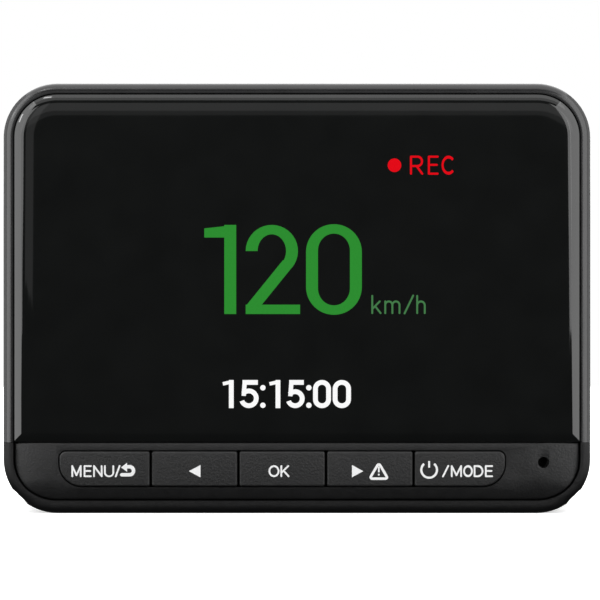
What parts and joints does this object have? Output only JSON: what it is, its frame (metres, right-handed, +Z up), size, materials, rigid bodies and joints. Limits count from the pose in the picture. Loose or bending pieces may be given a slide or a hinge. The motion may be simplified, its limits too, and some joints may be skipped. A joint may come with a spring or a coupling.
{
  "type": "radar detector",
  "caption": "Black windscreen radar detector with road camera: a glossy screen over a matt strip of press keys, horn antenna, laser window and sliding dock.",
  "frame": {"origin": "middle of the casing's underside, at the base of the bounding box", "axes": "+Z up as it hangs or stands, -Y towards the driver, whom the screen faces, +Y towards the road, +X to the driver's right as they face the screen"},
  "size_m": [0.084, 0.038, 0.0615],
  "materials": {
    "shell_plastic": "moulded black ABS, fine texture",
    "frame_plastic": "polished black ABS",
    "trim_plastic": "moulded black ABS, fine grain",
    "key_plastic": "moulded black ABS, fine grain, white printed legends",
    "cover_glass": "polished, tinted",
    "screen_glass": "liquid crystal panel",
    "lens_glass": "coated",
    "laser_plastic": "infrared-pass acrylic",
    "foam": "closed-cell foam",
    "soft_rubber": "moulded silicone",
    "board": "glass-fibre board, green solder mask",
    "flex": "polyimide film",
    "connector_plastic": "moulded nylon",
    "black_plastic": "moulded black plastic",
    "sleeve_plastic": "heat-shrink sleeve",
    "aluminium": "extruded, plain",
    "cast_alloy": "die cast, satin",
    "steel": "tinned sheet",
    "screw_steel": "zinc plated",
    "brass": "gold plated",
    "cone": "treated paper",
    "ceramic": "fired, silvered"
  },
  "bodies": {
    "casing": {"front_shell": "shell_plastic", "display_frame": "frame_plastic", "key_frame": "trim_plastic", "screen_cover": "cover_glass", "cover_tape": "foam", "key_panel": "trim_plastic", "key_switches": "steel", "lcd_glass": "screen_glass", "lcd_backlight": "steel", "lcd_foam": "foam", "lcd_flex": "flex", "lcd_connector": "connector_plastic", "main_board": "board", "board_screws": "screw_steel", "case_screws": "screw_steel", "processor": "black_plastic", "memory_chips": "black_plastic", "thermal_pad": "foam", "heat_sink": "aluminium", "supercapacitors": "sleeve_plastic", "card_socket": "steel", "usb_socket": "steel", "microphone": "aluminium", "microphone_boot": "soft_rubber", "camera_ring": "frame_plastic", "camera_glass": "cover_glass", "lens_barrel": "black_plastic", "lens_elements": "lens_glass", "lens_holder": "black_plastic", "image_sensor": "black_plastic", "camera_board": "board", "camera_flex": "flex", "horn_antenna": "cast_alloy", "radar_board": "board", "radar_shield": "steel", "radar_header": "black_plastic", "laser_window": "laser_plastic", "laser_lens": "laser_plastic", "laser_shroud": "black_plastic", "laser_sensor": "black_plastic", "laser_board": "board", "speaker_basket": "steel", "speaker_cone": "cone", "speaker_magnet": "steel", "speaker_gasket": "foam", "dock_contacts": "brass", "gps_tape": "foam", "gps_antenna": "ceramic", "gps_board": "board"},
    "key_menu_body": {"key_menu": "key_plastic", "plunger_menu": "connector_plastic"},
    "key_left_body": {"key_left": "key_plastic", "plunger_left": "connector_plastic"},
    "key_ok_body": {"key_ok": "key_plastic", "plunger_ok": "connector_plastic"},
    "key_right_body": {"key_right": "key_plastic", "plunger_right": "connector_plastic"},
    "key_mode_body": {"key_mode": "key_plastic", "plunger_mode": "connector_plastic"},
    "card": {"memory_card": "black_plastic"}
  },
  "joints": [
    {"name": "press_menu", "type": "slide", "parent": "casing", "child": "key_menu_body", "axis": [0, 1, 0], "range_m": [0, 0.0004], "stiffness_N_per_m": 150, "springref_m": -0.001},
    {"name": "press_left", "type": "slide", "parent": "casing", "child": "key_left_body", "axis": [0, 1, 0], "range_m": [0, 0.0004], "stiffness_N_per_m": 150, "springref_m": -0.001},
    {"name": "press_ok", "type": "slide", "parent": "casing", "child": "key_ok_body", "axis": [0, 1, 0], "range_m": [0, 0.0004], "stiffness_N_per_m": 150, "springref_m": -0.001},
    {"name": "press_right", "type": "slide", "parent": "casing", "child": "key_right_body", "axis": [0, 1, 0], "range_m": [0, 0.0004], "stiffness_N_per_m": 150, "springref_m": -0.001},
    {"name": "press_mode", "type": "slide", "parent": "casing", "child": "key_mode_body", "axis": [0, 1, 0], "range_m": [0, 0.0004], "stiffness_N_per_m": 150, "springref_m": -0.001},
    {"name": "card_slide", "type": "slide", "parent": "casing", "child": "card", "axis": [-1, 0, 0], "range_m": [0, 0.013]}
  ]
}
